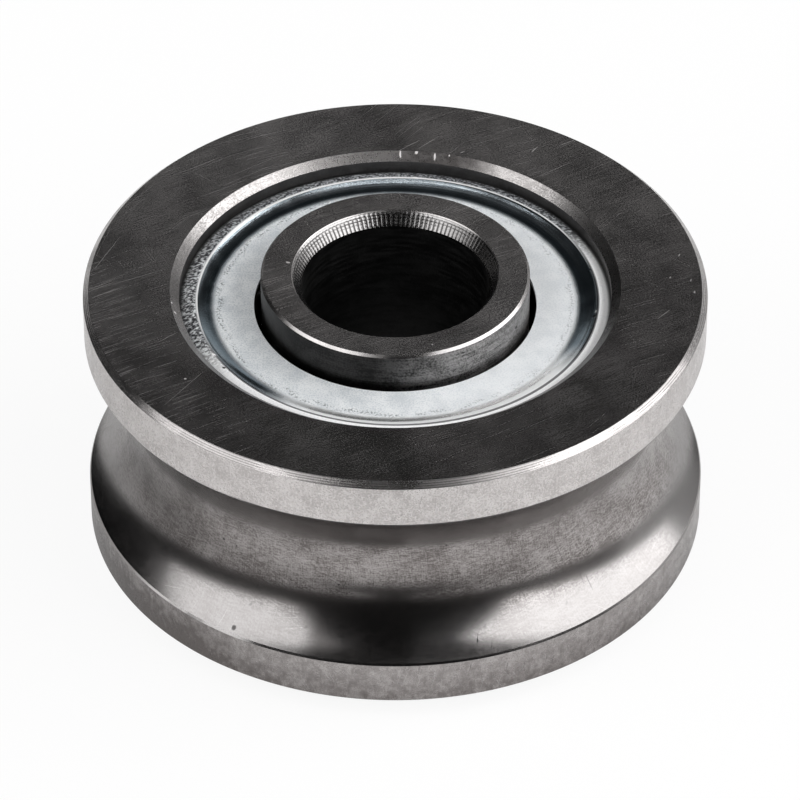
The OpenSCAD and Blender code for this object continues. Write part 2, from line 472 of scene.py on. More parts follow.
inner_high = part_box("inner_ring")[1]
inner_face = inner_high.z / MM
shoulder_r = inner_high.x / MM
land_r = pitch_r - ball_r + low_shoulder
bore = next(m for m in frame["record"]["mounts"] if m["name"] == "bore")
bore_r = bore["dims"]["r_mm"]
bore_end = bore["dims"]["length_mm"] / 2
inner_edge_chamfer = 0.16
bore_chamfer_w = 0.62

race_center = (pitch_r + race_shift * math.cos(contact), row_z - race_shift * math.sin(contact))
race_top = (shoulder_r, race_center[1] + rise(race_center, race_r, shoulder_r))
race_foot = (land_r, race_center[1] - rise(race_center, race_r, land_r))
lip_bevel = 0.02
lip = (bore_r + bore_chamfer_w, inner_face)
throat = (bore_r, bore_end)
bands = len(RIB_ROW_SHAPE) * RIB_ROWS
fall_r, fall_z = throat[0] - lip[0], throat[1] - lip[1]
chatter = [(lip[0] + fall_r * i / bands, lip[1] + fall_z * i / bands) for i in range(bands + 1)]
wall_end = (shoulder_r, inner_face - inner_edge_chamfer)
face_rim = (shoulder_r - inner_edge_chamfer, inner_face)
face_lip = (lip[0] + lip_bevel, inner_face)
inner_half = [
    ("raceway", arc(race_center, race_foot, race_top, RACE_STEPS)),
    ("wall", [race_top, wall_end]),
    ("edge", [wall_end, face_rim]),
    ("face", [face_rim, face_lip]),
    ("edge", [face_lip, chatter[1]]),
    ("chamfer", chatter[1:]),
]
inner_runs = inner_half + [("bore", [throat, (bore_r, -bore_end)])]
inner_runs += mirrored(inner_half) + [("raceway", [(land_r, -race_foot[1]), race_foot])]

# Angle, radius, length, width, turn and strength of each mark, here and in the later sections.
INNER_MARKS = ((171.0, 6.94, 0.36, 0.20, -20, 1.0), (287.6, 7.71, 0.14, 0.12, 0, 0.9))
WALL_PITS = ((333.0, shoulder_r, 0.30, 0.6, 63, 1.0),)
WALL_PIT_DROP = 1.35
NO_RIM_WEAR = 2 * shoulder_r
inner_finishes = {
    "face": ground_face("inner_ring_face", 0.42, 0.23, 40.0, NO_RIM_WEAR, inner_face, INNER_MARKS,
                        (318, 40, 100)),
    "edge": steel("inner_ring_edge", 0.42, 0.04, 0.26, 0.10),
    # Painted shade: the wall's steel is set far darker than the rest of the ring.
    "wall": turned_wall("inner_ring_wall", 0.036, 0.40, 2.0),
    "chamfer": chattered("bore_chamfer", 0.33, 0.24, 4.0),
    "bore": steel("bore_wall", 0.10, 0.0, 0.35, 0.2, seed=6.0),
    "raceway": steel("inner_raceway", 0.55, 0.0, 0.12, 0.02, seed=8.0),
}
inner_build, inner_verts = turned(inner_runs, inner_finishes, RIBS * len(RIB_SHAPE))
slant = math.atan2(lip[1] - throat[1], lip[0] - throat[0])
for i, (r, z) in enumerate(chatter[2:-1], 2):
    row = RIB_ROW_SHAPE[i % len(RIB_ROW_SHAPE)] if i > len(RIB_ROW_SHAPE) else 0.4
    for side in (1, -1):
        ring = inner_verts[round(r, 4), round(side * z, 4)]
        for k, vert in enumerate(ring):
            cut = -RIB_H * MM * row * RIB_SHAPE[k % len(RIB_SHAPE)]
            out = vert.co.xy.normalized() * cut * math.sin(slant)
            vert.co.x += out.x
            vert.co.y += out.y
            vert.co.z += side * -cut * math.cos(slant)
inner_ring = finished("inner_ring_steel", inner_build, inner_finishes)
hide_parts("inner_ring")
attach(inner_ring, "inner")


# ---- Balls and cages ----
# Two rows of polished steel balls, held apart by black moulded cages that snap over them. They sit
# behind the shields, and only the gap round the inner ring gives a glimpse of them.

ball_steel, ball_surface, ball_place = new_finish("ball_steel")
haze = grain(ball_steel, ball_place, 0.25)
buffed = ramp(ball_steel, haze, 0.3, 0.7, 0.05, 0.12)
ball_steel.node_tree.links.new(buffed, ball_surface.inputs["Roughness"])
ball_surface.inputs["Base Color"].default_value = gray(0.6)
ball_surface.inputs["Metallic"].default_value = 1.0

cage_plastic, cage_surface, cage_place = new_finish("cage_plastic")
fleck = grain(cage_plastic, cage_place, 0.16)
dull = ramp(cage_plastic, fleck, 0.3, 0.7, 0.5, 0.7)
cage_plastic.node_tree.links.new(dull, cage_surface.inputs["Roughness"])
cage_black = shade(cage_plastic, fleck, gray(0.006), gray(0.014))
cage_plastic.node_tree.links.new(cage_black, cage_surface.inputs["Base Color"])

for name, node in frame["nodes"].items():
    if "_ball_" in name or name.endswith("_cage"):
        node.data.materials.clear()
        node.data.materials.append(ball_steel if "_ball_" in name else cage_plastic)


# ---- Outer ring ----
# The tread of the wheel, one thick ring of hardened steel. Its outside carries the arched groove that
# runs on the guide shaft, and its bore the two raceways and, at each end, a recess for a shield.

RING_STEPS = 360
ARCH_STEPS = 40
LOCK_GAP = 0.02
outer_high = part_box("outer_ring")[1]
outer_face = outer_high.z / MM
flange_r = outer_high.x / MM
outer_land_r = pitch_r + ball_r - high_shoulder
outer_shoulder_r = pitch_r + ball_r - low_shoulder
recess_step = 0.73
lock_depth = 0.35
recess_r = outer_shoulder_r + recess_step
lock_r = recess_r + lock_depth

# The shield's sheet, to which the lock groove in the recess is fitted.
shield_low, shield_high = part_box("upper_shield")
seat_z = shield_low.z / MM
sheet_t = 0.3
flat_rise = 0.3
crest_h = 0.46
rim_w = 0.98
rim_tilt = math.radians(20)
flat_z = seat_z + flat_rise + sheet_t / 2
crest_z = flat_z + crest_h
crest_r = recess_r - rim_w
rim_fall = math.tan(rim_tilt)
lock_top = crest_z - rim_w * rim_fall + sheet_t / 2 / math.cos(rim_tilt) + LOCK_GAP

mouth_w = 0.57
mouth_depth = 0.47
flange_chamfer = 0.38
shaft_r = 7.0
shaft_distance = 24.0
arch_r = CONFORMITY * shaft_r
arch_shift = (arch_r - shaft_r) * math.sqrt(0.5)
arch_center = (shaft_distance + arch_shift, -arch_shift)
groove_edge = arch_center[1] + rise(arch_center, arch_r, flange_r)
GROOVE_BREAK = 0.10
BREAK_SHARE = 0.56
break_foot_z = groove_edge - BREAK_SHARE * GROOVE_BREAK
break_foot_r = arch_center[0] - math.sqrt(arch_r ** 2 - (break_foot_z - arch_center[1]) ** 2)
break_foot = (break_foot_r, break_foot_z)
groove_floor = (arch_center[0] - math.sqrt(arch_r ** 2 - arch_center[1] ** 2), 0.0)

outer_race_center = (pitch_r - race_shift * math.cos(contact), row_z + race_shift * math.sin(contact))
inboard_z = outer_race_center[1] - rise(outer_race_center, race_r, outer_land_r)
outboard_z = outer_race_center[1] + rise(outer_race_center, race_r, outer_shoulder_r)
race_inboard = (outer_land_r, inboard_z)
race_outboard = (outer_shoulder_r, outboard_z)
EDGE_RIDGES = 4
RIDGE_SHARE = 0.62
RIDGE_FALL = 0.82
edge_steps = []
for i in range(EDGE_RIDGES):
    at = flange_chamfer * i / EDGE_RIDGES
    reach = flange_chamfer * RIDGE_SHARE / EDGE_RIDGES
    edge_steps.append((flange_r - flange_chamfer + at, outer_face - at))
    edge_steps.append((flange_r - flange_chamfer + at + reach, outer_face - at - RIDGE_FALL * reach))
edge_steps.append((flange_r, outer_face - flange_chamfer))
outer_half = [
    ("raceway", arc(outer_race_center, race_inboard, race_outboard, RACE_STEPS)),
    ("bore", [race_outboard, (outer_shoulder_r, seat_z)]),
    ("bore", [(outer_shoulder_r, seat_z), (lock_r, seat_z), (lock_r, lock_top), (recess_r, lock_top)]),
    ("recess", [(recess_r, lock_top), (recess_r, outer_face - mouth_depth)]),
    ("mouth", [(recess_r, outer_face - mouth_depth), (recess_r + mouth_w, outer_face)]),
    ("face", [(recess_r + mouth_w, outer_face), edge_steps[0]]),
    ("edge", edge_steps),
    ("flange", [edge_steps[-1], (flange_r, groove_edge + GROOVE_BREAK)]),
    ("break", [(flange_r, groove_edge + GROOVE_BREAK), break_foot]),
    ("groove", arc(arch_center, break_foot, groove_floor, ARCH_STEPS)),
]
outer_runs = outer_half + mirrored(outer_half)
outer_runs += [("bore", [(outer_land_r, -race_inboard[1]), race_inboard])]


def unrolled(material, place, radius):
    """A ring's wall laid out flat: the way round it along X, and the height along Y."""
    x, y, z = add(material, "SeparateXYZ", {0: place}).outputs
    angle = work(material, "ARCTAN2", x, times(material, y, -1.0))
    return add(material, "CombineXYZ", {0: times(material, angle, radius), 1: z}).outputs[0]


def flange_wall(name, level, rough, seed):
    """The ground rim of a flange: pale warm steel, mottled and speckled, with faint streaks across
    the rim, short scratches and a scatter of small dark pits."""
    material, surface, place = new_finish(name)
    wall = unrolled(material, place, flange_r)
    cloud = grain(material, place, 1.3, detail=6.0, seed=seed)
    streaks = grain(material, place, (0.22, 0.22, 1.6), detail=3.0, seed=seed + 1.0)
    fine = grain(material, place, 0.12, detail=3.0, seed=seed + 2.0)
    blotch = grain(material, place, 0.45, detail=5.0, seed=seed + 7.0)
    tone = blend_of(material, (cloud, 0.25), (blotch, 0.15), (streaks, 0.10), (fine, 0.50))
    color = mottled(material, tone, 0.38, 0.60, (level * 0.78, 0.06), (level * 1.12, 0.045))
    # Painted shade: the lower flange is darkened, more towards its bottom edge and on its left.
    height = height_of(material, place)
    left = toward(material, place, 200, 20, 48)
    rim = ramp(material, height, -5.7, -9.8)
    rim = times(material, rim, work(material, "MULTIPLY_ADD", left, 0.4, 0.5))
    lower = ramp(material, height, 0.0, -5.0)
    lower = times(material, lower, work(material, "MULTIPLY_ADD", left, 0.25, 0.70))
    patchy = blend_of(material, (streaks, 0.15), (cloud, 0.35), (blotch, 0.5))
    patchy = ramp(material, patchy, 0.30, 0.70, 1.0, 0.6)
    lower_painted_shade = times(material, work(material, "ADD", rim, lower), patchy)
    color = shade(material, lower_painted_shade, color, gray(0.14, 0.10))
    light = dashes(material, wall, 1.6, 0.03, 0.25, seed + 3.0, 75)
    light = most(material, light, dashes(material, wall, 1.2, 0.03, 0.2, seed + 4.0, -60))
    color = over(material, color, light, 0.22, 0.95)
    pits = dashes(material, wall, 0.26, 0.16, 0.08, seed + 5.0, 40)
    pits = most(material, pits, dashes(material, wall, 0.9, 0.06, 0.14, seed + 6.0, 80))
    color = over(material, color, pits, 0.7, 0.06, 0.05)
    roughness = ramp(material, tone, 0.38, 0.62, rough * 1.2, rough * 0.85)
    relief = blend_of(material, (streaks, 0.3), (fine, 1.0), (pits, -1.0))
    connect(material, surface, color, roughness, relief, 0.14)
    return material


def mouth_steel(level, rough, seed):
    """The turned chamfer of the recess: warm and mottled, with painted light at its back, painted shade
    at its right and at a spot near its back, and bright nicks on its rim where the shield was pressed in."""
    material, surface, place = new_finish("recess_mouth")
    lines = ring_grain(material, place, 0.30, 9.0, seed)
    cloud = grain(material, place, 0.9, detail=5.0, seed=seed + 1.0)
    fine = grain(material, place, 0.11, detail=3.0, seed=seed + 2.0)
    tone = blend_of(material, (cloud, 0.22), (fine, 0.55), (lines, 0.23))
    color = mottled(material, tone, 0.40, 0.58, (level * 0.62, 0.05), (level * 1.15, 0.04))
    # Painted light: the back of the mouth is laid over with a paler gray.
    color = over(material, color, toward(material, place, 90, 25, 52), 0.42, 0.58, 0.05)
    # Painted shade: the mouth darkens at its right and at a narrow spot near its back.
    mouth_painted_shade = most(material, toward(material, place, 335, 12, 42), toward(material, place, 76, 2, 16))
    mouth_painted_shade = times(material, mouth_painted_shade, ramp(material, cloud, 0.25, 0.55, 0.45, 0.85))
    color = shade(material, mouth_painted_shade, color, gray(0.06, 0.10))
    nicks = marked(material, wavy(material, place, 0.05, 0.2, seed), outer_face - 0.1, MOUTH_NICKS)
    color = shade(material, nicks, color, gray(0.95, 0.03))
    roughness = ramp(material, tone, 0.38, 0.62, rough * 1.2, rough * 0.8)
    roughness = blend_of(material, (roughness, 1.0), (nicks, 0.3))
    relief = blend_of(material, (lines, 0.5), (fine, 1.0), (nicks, 1.0))
    connect(material, surface, color, roughness, relief, 0.22)
    return material


def groove_break():
    """The line where the groove's edge is broken, with a painted highlight on its left."""
    material, surface, place = new_finish("groove_break")
    # Painted highlight: the break turns pale on its left.
    rub_and_highlight = times(material, toward(material, place, 229, 9, 17), 0.7)
    fine = ring_grain(material, place, 0.8, 3.0, 19.0)
    rub_and_highlight = times(material, rub_and_highlight, ramp(material, fine, 0.35, 0.50, 0.6, 1.0))
    color = shade(material, rub_and_highlight, gray(0.28, 0.05), gray(0.95, 0.03))
    connect(material, surface, color, ramp(material, rub_and_highlight, 0.0, 1.0, 0.18, 0.55), fine, 0.05)
    return material


# Turn, length, width and share of each family of scratches in the groove.
TREAD_SCRATCHES = ((14, 1.8, 0.035, 0.20), (-35, 1.4, 0.035, 0.14), (80, 1.6, 0.035, 0.16))
TREAD_R = 18.0


def groove_steel():
    """The superfinished tread of the groove: brownish gray and grainy, with short fine marks that run
    round it, hair scratches and a few pits. Painted shade darkens its left side, more below its middle,
    and a patch at the front of its foot."""
    material, surface, place = new_finish("groove_steel")
    wall = wavy(material, unrolled(material, place, TREAD_R), 0.15, 3.0, 30.0)
    cloud = grain(material, place, 2.0, detail=6.0, seed=31.0)
    fine = grain(material, place, 0.11, detail=3.0, seed=33.0)
    rising = grain(material, wall, (1.1, 0.10, 1.0), detail=3.0, seed=34.0, turn=9)
    falling = grain(material, wall, (0.8, 0.11, 1.0), detail=3.0, seed=35.0, turn=-14)
    upright = grain(material, wall, (0.08, 0.90, 1.0), detail=2.0, seed=39.0, turn=6)
    crossed = most(material, rising, falling)
    crossed = blend_of(material, (crossed, 0.7), (upright, 0.3))
    tone = blend_of(material, (cloud, 0.22), (fine, 0.26), (crossed, 0.52))
    height = height_of(material, place)
    foot = ramp(material, height, -2.6, -4.6)
    ragged = wavy(material, place, 0.06, 0.25, 40.0)
    coarse = mottled(material, tone, 0.42, 0.60, (0.14, 0.12), (0.395, 0.06))
    # Painted shade: the front left of the groove darkens below its middle.
    lower = ramp(material, height, -0.2, -2.0, 0.10, 0.45)
    coarse = over(material, coarse, toward(material, place, 246, 36, 70), lower, 0.03, 0.1)
    calm = mottled(material, tone, 0.42, 0.60, (0.25, 0.05), (0.28, 0.035))
    color = shade(material, foot, coarse, calm)
    # Painted shade on the groove's left.
    color = over(material, color, toward(material, place, 203, 14, 27), 0.35, 0.03, 0.1)
    # Painted shade: a patch at the front of the groove's foot.
    foot_painted_shade = times(material, toward(material, ragged, 263, 7, 12), foot)
    color = over(material, color, foot_painted_shade, 0.7, 0.03, 0.1)
    scratches = [dashes(material, wall, length, width, share, 36.0 + turn, turn)
                 for turn, length, width, share in TREAD_SCRATCHES]
    light = most(material, *scratches)
    color = over(material, color, light, 0.10, 0.9, 0.02)
    pits = most(material, dashes(material, wall, 0.32, 0.20, 0.07, 37.0, 30),
                dashes(material, wall, 0.9, 0.05, 0.12, 38.0, 68))
    for level, tall, marks in GROOVE_MARKS:
        pits = most(material, pits, marked(material, ragged, level, marks, tall))
    color = over(material, color, pits, 0.85, 0.03, 0.05)
    roughness = ramp(material, tone, 0.41, 0.61, 0.26, 0.18)
    relief = blend_of(material, (crossed, 1.0), (fine, 0.6), (pits, -1.0), (light, 0.3))
    relief = times(material, relief, ramp(material, foot, 0.0, 1.0, 1.0, 0.4))
    connect(material, surface, color, roughness, relief, 0.06)
    return material


OUTER_MARKS = (
    (216.0, 16.25, 0.22, 0.18, 0, 1.0), (57.8, 17.15, 0.85, 0.08, 55, 0.8),
    (53.5, 19.0, 1.9, 0.06, 33, 0.5), (49.8, 16.2, 3.3, 0.05, 35, 0.4),
    (86.5, 15.0, 2.6, 0.06, 41, 0.45), (82.0, 15.4, 2.4, 0.06, 45, 0.45),
    (72.8, 14.9, 0.40, 0.08, 40, 0.8), (350.0, 17.3, 1.5, 0.06, 49, 0.5),
    (200.5, 15.4, 2.2, 0.05, 40, 0.45), (218.5, 16.9, 5.0, 0.05, 55, 0.35),
    (170.0, 18.85, 4.4, 0.06, 66, 0.35), (178.0, 17.0, 5.6, 0.05, 26, 0.35),
    (2.6, 17.6, 0.20, 0.08, 60, 0.8), (1.6, 18.9, 0.28, 0.10, 80, 0.8),
    (9.8, 18.5, 0.34, 0.10, 70, 0.8), (357.9, 19.1, 0.30, 0.12, 85, 0.8),
)
MOUTH_NICKS = (
    (88.7, 14.22, 0.14, 0.5, 0, 1.0), (84.5, 14.34, 0.30, 0.22, 30, 1.0),
    (79.5, 14.20, 0.16, 0.5, 0, 1.0), (75.7, 14.35, 0.12, 0.12, 0, 1.0),
    (190.8, 14.22, 0.16, 0.30, 30, 1.0), (187.0, 14.34, 0.14, 0.16, 0, 1.0),
)
# Height and tallness of a few marks at a time, and the marks.
GROOVE_MARKS = (
    (-5.42, 0.34, ((238.6, 19.57, 0.40, 0.60, -31, 1.0),)),
    (-1.10, 0.20, ((230.5, 17.05, 0.30, 0.50, -40, 1.0), (234.0, 17.02, 0.14, 0.40, -36, 1.0))),
    (-1.73, 0.16, ((258.1, 17.18, 0.16, 0.40, -12, 1.0),)),
    (1.50, 0.18, ((280.8, 17.12, 0.18, 0.40, 10, 1.0),)),
    (-5.00, 0.22, ((285.7, 19.11, 0.16, 0.40, 15, 1.0),)),
    (-3.75, 1.10, ((310.7, 18.10, 0.06, 1.40, 40, 0.5),)),
    (-4.15, 1.40, ((311.9, 18.40, 0.06, 1.80, 41, 0.5),)),
)
outer_finishes = {
    "face": ground_face("outer_ring_face", 0.36, 0.22, 60.0, flange_r, outer_face, OUTER_MARKS,
                        (152, 25, 62)),
    "edge": fine_edge("outer_ring_edge", 0.36, 0.25, 12.0),
    "flange": flange_wall("flange_wall", 0.545, 0.28, 13.0),
    "break": groove_break(),
    "groove": groove_steel(),
    "mouth": mouth_steel(0.34, 0.30, 15.0),
    "recess": steel("recess_wall", 0.14, 0.03, 0.42, 0.10, seed=16.0),
    "bore": steel("outer_ring_bore", 0.20, 0.0, 0.40, 0.10, seed=17.0),
    "raceway": steel("outer_raceway", 0.55, 0.0, 0.12, 0.02, seed=18.0),
}
outer_build = turned(outer_runs, outer_finishes, RING_STEPS)[0]
outer_ring = finished("outer_ring_steel", outer_build, outer_finishes)
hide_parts("outer_ring")
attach(outer_ring, "outer")


# ---- Shields ----
# Two rings pressed from thin sheet and zinc plated. The flat leaves a gap round the inner ring, and
# the rim is rolled down into a groove in the outer ring's recess, which frosts the plating there.

shield_gap = 0.45
slope_w = 0.62
shield_inner_r = shoulder_r + shield_gap
rim_r = shield_high.x / MM - sheet_t / 2
shield_line = [
    (shield_inner_r, flat_z),
    (crest_r - slope_w, flat_z),
    (crest_r, crest_z),
    (rim_r, crest_z - (rim_r - crest_r) * rim_fall),
    (rim_r, seat_z),
]
BEND_RADII = (1.9, 0.2, 0.2)
BEND_STEPS = (14, 6, 6)
FLAKES = (
    (207.0, 12.86, 0.50, 0.26, -30, 1.0), (209.0, 13.20, 0.34, 0.20, 10, 1.0),
    (84.2, 12.86, 0.60, 0.20, -10, 1.0), (353.5, 12.88, 0.34, 0.14, 80, 1.0),
)
PITS = (
    (213.5, 12.96, 0.36, 0.20, -30, 1.0), (215.5, 12.80, 0.20, 0.12, 30, 1.0),
    (351.4, 12.84, 0.50, 0.20, 60, 1.0), (13.0, 12.86, 0.30, 0.12, 100, 1.0),
)


def heading(start, end):
    """Unit vector from one point to another."""
    far = math.dist(start, end)
    return ((end[0] - start[0]) / far, (end[1] - start[1]) / far)


def rounded(line):
    """The sheet's line with its corners bent, each to its own radius."""
    path = [line[0]]
    for before, corner, after, radius, steps in zip(line, line[1:], line[2:], BEND_RADII, BEND_STEPS):
        back, ahead = heading(corner, before), heading(corner, after)
        half = math.acos(back[0] * ahead[0] + back[1] * ahead[1]) / 2
        reach = radius / math.tan(half)
        start = (corner[0] + back[0] * reach, corner[1] + back[1] * reach)
        end = (corner[0] + ahead[0] * reach, corner[1] + ahead[1] * reach)
        middle = heading((0, 0), (back[0] + ahead[0], back[1] + ahead[1]))
        far = radius / math.sin(half)
        path += arc((corner[0] + middle[0] * far, corner[1] + middle[1] * far), start, end, steps)
    return path + [line[-1]]


def offset(path, distance):
    """A path moved sideways, to the left for a positive distance."""
    moved = []
    last = len(path) - 2
    for i, point in enumerate(path):
        before = heading(path[max(i, 1) - 1], path[max(i, 1)])
        after = heading(path[min(i, last)], path[min(i, last) + 1])
        total = (before[0] + after[0], before[1] + after[1])
        size = 2 * distance / (total[0] ** 2 + total[1] ** 2)
        moved.append((point[0] - total[1] * size, point[1] + total[0] * size))
    return moved


sheet_path = rounded(shield_line)
top_side = offset(sheet_path, sheet_t / 2)
under_side = offset(sheet_path, -sheet_t / 2)
shield_points = top_side + under_side[::-1] + top_side[:1]


def zinc_plate():
    """Bluish white zinc, frosty on the flat and rubbed in a broken line round it. The die burnished the
    slope and crushed the rim to a speckle that is smooth at the right. Painted light whitens the flat's
    right and the foot of the slope, and makes a highlight on the crest. Painted shade darkens the slope
    but for its front, the rim at the back and left, a line outside the crest, and the seam at the rim's
    edge."""
    material, surface, place = new_finish("zinc_plate")
    radius = radius_of(material, place)
    rim_radius = radius_of(material, place, 0.1)
    back = toward(material, place, 95, 30, 85)
    front = toward(material, place, 282, 38, 58)
    cloud = grain(material, place, 1.3, detail=5.0, seed=21.0)
    speck = grain(material, place, 0.12, detail=3.0, seed=22.0)
    frost = ring_grain(material, place, 6.0, 6.0, 23.0)
    tone = blend_of(material, (cloud, 0.35), (speck, 0.65))
    base = shade(material, ramp(material, tone, 0.40, 0.60), (0.64, 0.68, 0.71, 1), (0.92, 0.94, 0.95, 1))
    base = shade(material, ramp(material, speck, 0.58, 0.68, 0.0, 0.50), base, (0.34, 0.37, 0.39, 1))

    wander = ring_grain(material, place, 0.5, 0.5, 26.0)
    wander = work(material, "ADD", radius, ramp(material, wander, 0.3, 0.7, -0.2, 0.2))
    worn = times(material, ramp(material, wander, 11.00, 11.30), ramp(material, wander, 11.65, 11.40))
    crumbs = grain(material, place, 0.14, detail=2.0, seed=25.0)
    cluster = ring_grain(material, place, 0.9, 3.0, 24.0, 2.0)
    worn = times(material, worn, ramp(material, cluster, 0.44, 0.54))
    rub_and_highlight = times(material, ramp(material, crumbs, 0.50, 0.56), worn)
    base = shade(material, times(material, rub_and_highlight, 0.75), base, (0.12, 0.14, 0.15, 1))

    # Painted light: the flat whitens at the foot of the slope, on its right and front.
    foot = ramp(material, radius, crest_r - 1.5, crest_r - 0.9)
    foot = times(material, foot, toward(material, place, 315, 60, 105))
    # Painted light: the flat's right side is whitened.
    right = times(material, toward(material, place, 0, 40, 110), 0.45)
    base = shade(material, right, base, (0.96, 0.98, 1.0, 1))
    base = shade(material, foot, base, (0.97, 0.98, 0.98, 1))
    streaks = ring_grain(material, place, 0.10, 10.0, 27.0)
    # The slope is burnished, and its dark color is painted shade, which is left off at the front.
    burnish_and_shade = ramp(material, radius, crest_r - 1.45, crest_r - 0.90)
    burnish_and_shade = times(material, burnish_and_shade, ramp(material, rim_radius, crest_r + 0.06, crest_r))
    burnish_and_shade = times(material, burnish_and_shade, work(material, "SUBTRACT", 1.0, front))
    # Painted light: the upper slope at the back is paler and more streaked.
    upper = ramp(material, radius, crest_r - 0.85, crest_r - 0.35)
    upper = times(material, upper, toward(material, place, 100, 60, 95))
    polished_shade = shade(material, upper, (0.12, 0.155, 0.18, 1), (0.25, 0.29, 0.32, 1))
    streaked = ramp(material, streaks, 0.42, 0.60)
    streaked = times(material, streaked, work(material, "MULTIPLY_ADD", upper, 0.55, 0.08))
    polished_shade = shade(material, streaked, polished_shade, (0.62, 0.68, 0.72, 1))
    base = shade(material, burnish_and_shade, base, polished_shade)

    # The rim's frost is real relief; its dark speckle at the back and left and the darker gray at its
    # back are painted shade.
    rim = ramp(material, rim_radius, crest_r, crest_r + 0.07)
    crushed_and_shaded = times(material, rim, toward(material, place, 117, 82, 102))
    shaded_frost_gray = shade(material, back, (0.80, 0.82, 0.83, 1), (0.50, 0.52, 0.54, 1))
    frosted = shade(material, ramp(material, frost, 0.42, 0.64), (0.02, 0.02, 0.025, 1), shaded_frost_gray)
    even = shade(material, ramp(material, speck, 0.36, 0.50), (0.88, 0.89, 0.90, 1), (1.0, 1.0, 1.0, 1))
    base = shade(material, rim, base, even)
    base = shade(material, crushed_and_shaded, base, frosted)
    # Painted shadow: the rim's outer edge by the recess wall is darkened to near black.
    seam_painted_shadow = ramp(material, radius, recess_r - 0.32, recess_r - 0.06)
    base = shade(material, times(material, seam_painted_shadow, 0.93), base, (0.02, 0.02, 0.02, 1))

    # Painted highlight: a white line along the crest, strongest at the back and left.
    shine = toward(material, place, 110, 70, 105)
    crest = ramp(material, rim_radius, crest_r - 0.13, crest_r - 0.07)
    crest = times(material, crest, ramp(material, rim_radius, crest_r + 0.04, crest_r - 0.01))
    bright = times(material, crest, work(material, "MULTIPLY_ADD", shine, 0.85, 0.15))
    base = shade(material, bright, base, (1.0, 1.0, 1.0, 1))
    # Painted shade: a dark line just outside the crest, fainter where the crest highlight is painted.
    crest_painted_shade = ramp(material, rim_radius, crest_r - 0.10, crest_r - 0.02)
    crest_painted_shade = times(material, crest_painted_shade, ramp(material, rim_radius, crest_r + 0.13, crest_r + 0.08))
    crest_painted_shade = times(material, crest_painted_shade, work(material, "MULTIPLY_ADD", shine, -0.7, 0.85))
    base = shade(material, crest_painted_shade, base, (0.03, 0.03, 0.035, 1))
    ragged = wavy(material, place, 0.07, 0.25, 28.0)
    flakes = marked(material, ragged, crest_z, FLAKES)
    base = shade(material, flakes, base, (1.0, 1.0, 1.0, 1))
    pits = marked(material, ragged, crest_z, PITS)
    base = shade(material, pits, base, (0.015, 0.015, 0.015, 1))

    rough = ramp(material, cloud, 0.3, 0.7, 0.46, 0.58)
    glow = ramp(material, radius, crest_r - 1.45, crest_r - 1.15)
    glow = times(material, glow, ramp(material, radius, crest_r - 0.50, crest_r - 0.80))
    glow = times(material, glow, foot, work(material, "SUBTRACT", 1.0, burnish_and_shade))
    rough = work(material, "SUBTRACT", rough, times(material, burnish_and_shade, 0.34))
    rough = work(material, "SUBTRACT", rough, times(material, glow, 0.26))
    relief = blend_of(material, (speck, 0.4), (times(material, frost, crushed_and_shaded), 0.9), (rub_and_highlight, -0.8),
                      (flakes, 1.5), (pits, -1.5), (times(material, streaks, burnish_and_shade), 0.12))
    connect(material, surface, base, rough, relief, 0.35, 0.05)
    metal = times(material, burnish_and_shade, work(material, "MULTIPLY_ADD", bright, -0.9, 0.95))
    metal = most(material, metal, times(material, work(material, "SUBTRACT", 1.0, rim), 0.12))
    metal = most(material, metal, times(material, glow, 0.85))
    material.node_tree.links.new(metal, surface.inputs["Metallic"])
    return material


zinc = {"zinc": zinc_plate()}
for side, node in ((1, "upper_shield"), (-1, "lower_shield")):
    section = [("zinc", [(r, side * z) for r, z in shield_points])]
    shield_build = turned(section, zinc, RING_STEPS)[0]
    shield = finished(node + "_sheet", shield_build, zinc)
    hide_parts(node)
    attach(shield, "outer")


# ---- Floor and light ----
# A plain white floor just under the wheel, soft boxes at its left and right, and a strip above. The
# room is dim but for a glow at the back, which is what the ground end faces mirror.

def paper():
    """White paper: plain white to the eye, and lit by the lamps in the metal's reflections, which also
    see a painted dark patch on it just in front of the wheel."""
    material = bpy.data.materials.new("floor_paper")
    material.use_nodes = True
    tree = material.node_tree
    tree.nodes.clear()
    place = add(material, "TexCoord").outputs["Object"]
    x, y = add(material, "SeparateXYZ", {0: place}).outputs[:2]
    path = add(material, "LightPath")
    mirrored_share = most(material, path.outputs["Is Glossy Ray"], path.outputs["Is Transmission Ray"])
    # Painted reflection: a near-black patch in front of the wheel, seen only by glossy and transmission
    # rays.
    ahead = ramp(material, y, -0.046, -0.066)
    beside = ramp(material, work(material, "ABSOLUTE", x), 0.05, 0.02)
    dark = times(material, ahead, beside, mirrored_share)
    matt = add(material, "BsdfDiffuse", {"Color": shade(material, dark, gray(0.95), gray(0.03))})
    glow = add(material, "Emission", {"Color": gray(1.0), "Strength": 1.0})
    seen = times(material, mirrored_share, work(material, "MULTIPLY_ADD", dark, -0.08, 0.08))
    seen = most(material, seen, times(material, path.outputs["Is Camera Ray"], 0.9))
    mixed = add(material, "MixShader", {0: seen, 1: matt.outputs[0], 2: glow.outputs[0]})
    add(material, "OutputMaterial", {"Surface": mixed.outputs[0]})
    return material


floor_mesh = bpy.data.meshes.new("floor")
FLOOR_R = 6.0
FLOOR_GAP = 0.05 * MM
floor_z = cad_low.z - FLOOR_GAP
corners = [(x * FLOOR_R, y * FLOOR_R, floor_z) for x, y in ((-1, -1), (1, -1), (1, 1), (-1, 1))]
floor_mesh.from_pydata(corners, [], [(0, 1, 2, 3)])
floor_mesh.materials.append(paper())
floor = bpy.data.objects.new("floor", floor_mesh)
bpy.context.scene.collection.objects.link(floor)


